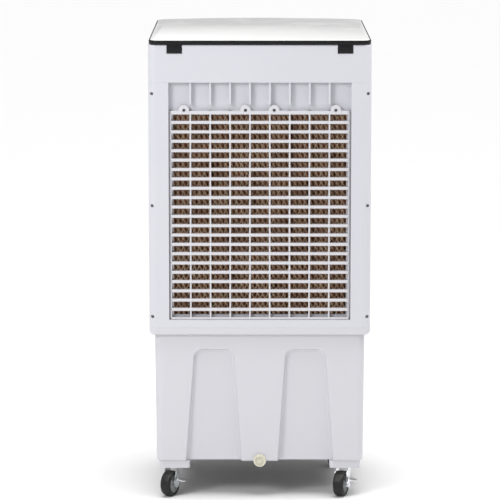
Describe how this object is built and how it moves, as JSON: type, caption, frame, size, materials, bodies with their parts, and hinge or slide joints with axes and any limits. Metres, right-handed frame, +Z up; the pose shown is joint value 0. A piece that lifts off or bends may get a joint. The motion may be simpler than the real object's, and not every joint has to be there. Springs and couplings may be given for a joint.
{
  "type": "evaporative cooler",
  "caption": "Portable evaporative air cooler on swivel casters, with a louvred rear intake over a wet pad, a water tank and a hinged top lid.",
  "frame": {"origin": "on the floor under the middle of the cooler", "axes": "+Z up, +Y towards the back where air enters through the grille, -Y towards the front outlet, +X to the left of a person looking at the back"},
  "size_m": [0.447, 0.3696, 0.942],
  "materials": {
    "housing_white": "satin moulded",
    "grille_white": "satin moulded",
    "lid_glass": "back-painted white glass",
    "rim_black": "gloss",
    "pad_cellulose": "corrugated paper",
    "zinc": "bright zinc plate",
    "wheel_black": "moulded",
    "motor_paint": "satin paint",
    "dark_plastic": "moulded",
    "hose_clear": "clear tube",
    "plug_ivory": "natural polymer",
    "window_clear": "clear",
    "float_red": "moulded",
    "key_grey": "moulded",
    "board_green": "solder mask"
  },
  "bodies": {
    "chassis": {"water_tank": "housing_white", "drain_fitting": "plug_ivory", "level_window": "window_clear", "main_housing": "housing_white", "side_panels": "housing_white", "rear_cover": "housing_white", "rear_grille": "grille_white", "cover_screws": "zinc", "grille_screws": "zinc", "cooling_pad": "pad_cellulose", "pad_frame": "grille_white", "water_distributor": "grille_white", "top_deck": "housing_white", "control_panel": "rim_black", "display_window": "window_clear", "control_board": "board_green", "front_bezel": "housing_white", "swing_motor": "motor_paint", "fan_shroud": "grille_white", "motor_bracket": "zinc", "fan_motor": "motor_paint", "water_pump": "dark_plastic", "pump_filter": "dark_plastic", "riser_hose": "hose_clear", "cord_gland": "rim_black", "hinge_pins": "zinc", "caster_plates": "zinc", "caster_screws": "zinc"},
    "lid": {"lid_rim": "rim_black", "lid_panel": "lid_glass"},
    "fan": {"motor_shaft": "zinc", "fan_rotor": "dark_plastic", "spinner_nut": "dark_plastic"},
    "louvre_bar": {"louvre_tie_bar": "grille_white"},
    "vane_bar": {"vane_link_bar": "grille_white"},
    "plug": {"drain_plug": "plug_ivory"},
    "float": {"level_float": "float_red"},
    "louvre_1": {"louvre_1": "grille_white"},
    "louvre_2": {"louvre_2": "grille_white"},
    "louvre_3": {"louvre_3": "grille_white"},
    "louvre_4": {"louvre_4": "grille_white"},
    "louvre_5": {"louvre_5": "grille_white"},
    "vane_1": {"swing_vane_1": "grille_white"},
    "vane_2": {"swing_vane_2": "grille_white"},
    "vane_3": {"swing_vane_3": "grille_white"},
    "vane_4": {"swing_vane_4": "grille_white"},
    "vane_5": {"swing_vane_5": "grille_white"},
    "key_1": {"panel_key_1": "key_grey"},
    "key_2": {"panel_key_2": "key_grey"},
    "key_3": {"panel_key_3": "key_grey"},
    "caster_1": {"caster_fork_1": "zinc"},
    "wheel_1": {"caster_wheel_1": "wheel_black"},
    "brake_1": {"brake_lever_1": "zinc"},
    "caster_2": {"caster_fork_2": "zinc"},
    "wheel_2": {"caster_wheel_2": "wheel_black"},
    "brake_2": {"brake_lever_2": "zinc"},
    "caster_3": {"caster_fork_3": "zinc"},
    "wheel_3": {"caster_wheel_3": "wheel_black"},
    "caster_4": {"caster_fork_4": "zinc"},
    "wheel_4": {"caster_wheel_4": "wheel_black"}
  },
  "joints": [
    {"name": "lid_hinge", "type": "hinge", "parent": "chassis", "child": "lid", "pos_m": [0, 0.181, 0.93], "axis": [-1, 0, 0], "range_deg": [0, 80]},
    {"name": "fan_spin", "type": "hinge", "parent": "chassis", "child": "fan", "pos_m": [0, -0.061, 0.71], "axis": [0, 1, 0], "continuous": true},
    {"name": "louvre_1_tilt", "type": "hinge", "parent": "chassis", "child": "louvre_1", "pos_m": [0, -0.15, 0.61], "axis": [1, 0, 0], "range_deg": [-35, 35]},
    {"name": "louvre_2_tilt", "type": "hinge", "parent": "chassis", "child": "louvre_2", "pos_m": [0, -0.15, 0.66], "axis": [1, 0, 0], "range_deg": [-35, 35]},
    {"name": "louvre_3_tilt", "type": "hinge", "parent": "chassis", "child": "louvre_3", "pos_m": [0, -0.15, 0.71], "axis": [1, 0, 0], "range_deg": [-35, 35]},
    {"name": "louvre_4_tilt", "type": "hinge", "parent": "chassis", "child": "louvre_4", "pos_m": [0, -0.15, 0.76], "axis": [1, 0, 0], "range_deg": [-35, 35]},
    {"name": "louvre_5_tilt", "type": "hinge", "parent": "chassis", "child": "louvre_5", "pos_m": [0, -0.15, 0.81], "axis": [1, 0, 0], "range_deg": [-35, 35]},
    {"name": "louvre_bar_pivot", "type": "hinge", "parent": "louvre_1", "child": "louvre_bar", "pos_m": [0.031, -0.138, 0.61], "axis": [1, 0, 0], "range_deg": [-35, 35]},
    {"name": "vane_1_swing", "type": "hinge", "parent": "chassis", "child": "vane_1", "pos_m": [-0.124, -0.108, 0.71], "axis": [0, 0, 1], "range_deg": [-35, 35]},
    {"name": "vane_2_swing", "type": "hinge", "parent": "chassis", "child": "vane_2", "pos_m": [-0.062, -0.108, 0.71], "axis": [0, 0, 1], "range_deg": [-35, 35]},
    {"name": "vane_3_swing", "type": "hinge", "parent": "chassis", "child": "vane_3", "pos_m": [0, -0.108, 0.71], "axis": [0, 0, 1], "range_deg": [-35, 35]},
    {"name": "vane_4_swing", "type": "hinge", "parent": "chassis", "child": "vane_4", "pos_m": [0.062, -0.108, 0.71], "axis": [0, 0, 1], "range_deg": [-35, 35]},
    {"name": "vane_5_swing", "type": "hinge", "parent": "chassis", "child": "vane_5", "pos_m": [0.124, -0.108, 0.71], "axis": [0, 0, 1], "range_deg": [-35, 35]},
    {"name": "vane_bar_pivot", "type": "hinge", "parent": "vane_1", "child": "vane_bar", "pos_m": [-0.124, -0.096, 0.824], "axis": [0, 0, 1], "range_deg": [-35, 35]},
    {"name": "key_1_press", "type": "slide", "parent": "chassis", "child": "key_1", "axis": [0, 1, 0], "range_m": [0, 0.0015], "stiffness_N_per_m": 400},
    {"name": "key_2_press", "type": "slide", "parent": "chassis", "child": "key_2", "axis": [0, 1, 0], "range_m": [0, 0.0015], "stiffness_N_per_m": 400},
    {"name": "key_3_press", "type": "slide", "parent": "chassis", "child": "key_3", "axis": [0, 1, 0], "range_m": [0, 0.0015], "stiffness_N_per_m": 400},
    {"name": "plug_pull", "type": "slide", "parent": "chassis", "child": "plug", "axis": [0, 1, 0], "range_m": [0, 0.025]},
    {"name": "float_rise", "type": "slide", "parent": "chassis", "child": "float", "axis": [0, 0, 1], "range_m": [0, 0.1]},
    {"name": "caster_1_swivel", "type": "hinge", "parent": "chassis", "child": "caster_1", "pos_m": [0.1735, 0.136, 0.06], "axis": [0, 0, 1], "continuous": true},
    {"name": "wheel_1_roll", "type": "hinge", "parent": "caster_1", "child": "wheel_1", "pos_m": [0.18303, 0.15471, 0.026], "axis": [-0.891, 0.454, 0], "continuous": true},
    {"name": "brake_1_press", "type": "hinge", "parent": "caster_1", "child": "brake_1", "pos_m": [0.18303, 0.15471, 0.026], "axis": [-0.891, 0.454, 0], "range_deg": [-18, 0]},
    {"name": "caster_2_swivel", "type": "hinge", "parent": "chassis", "child": "caster_2", "pos_m": [-0.1735, 0.136, 0.06], "axis": [0, 0, 1], "continuous": true},
    {"name": "wheel_2_roll", "type": "hinge", "parent": "caster_2", "child": "wheel_2", "pos_m": [-0.16666, 0.15586, 0.026], "axis": [-0.9455, 0.3256, 0], "continuous": true},
    {"name": "brake_2_press", "type": "hinge", "parent": "caster_2", "child": "brake_2", "pos_m": [-0.16666, 0.15586, 0.026], "axis": [-0.9455, 0.3256, 0], "range_deg": [-18, 0]},
    {"name": "caster_3_swivel", "type": "hinge", "parent": "chassis", "child": "caster_3", "pos_m": [0.165, -0.112, 0.06], "axis": [0, 0, 1], "continuous": true},
    {"name": "wheel_3_roll", "type": "hinge", "parent": "caster_3", "child": "wheel_3", "pos_m": [0.17354, -0.09282, 0.026], "axis": [-0.9135, 0.4067, 0], "continuous": true},
    {"name": "caster_4_swivel", "type": "hinge", "parent": "chassis", "child": "caster_4", "pos_m": [-0.165, -0.112, 0.06], "axis": [0, 0, 1], "continuous": true},
    {"name": "wheel_4_roll", "type": "hinge", "parent": "caster_4", "child": "wheel_4", "pos_m": [-0.15957, -0.09172, 0.026], "axis": [-0.9659, 0.2588, 0], "continuous": true}
  ],
  "couplings": [
    {"joint": "louvre_2_tilt", "follows": "louvre_1_tilt", "ratio": 1},
    {"joint": "louvre_3_tilt", "follows": "louvre_1_tilt", "ratio": 1},
    {"joint": "louvre_4_tilt", "follows": "louvre_1_tilt", "ratio": 1},
    {"joint": "louvre_5_tilt", "follows": "louvre_1_tilt", "ratio": 1},
    {"joint": "louvre_bar_pivot", "follows": "louvre_1_tilt", "ratio": -1},
    {"joint": "vane_2_swing", "follows": "vane_1_swing", "ratio": 1},
    {"joint": "vane_3_swing", "follows": "vane_1_swing", "ratio": 1},
    {"joint": "vane_4_swing", "follows": "vane_1_swing", "ratio": 1},
    {"joint": "vane_5_swing", "follows": "vane_1_swing", "ratio": 1},
    {"joint": "vane_bar_pivot", "follows": "vane_1_swing", "ratio": -1}
  ]
}
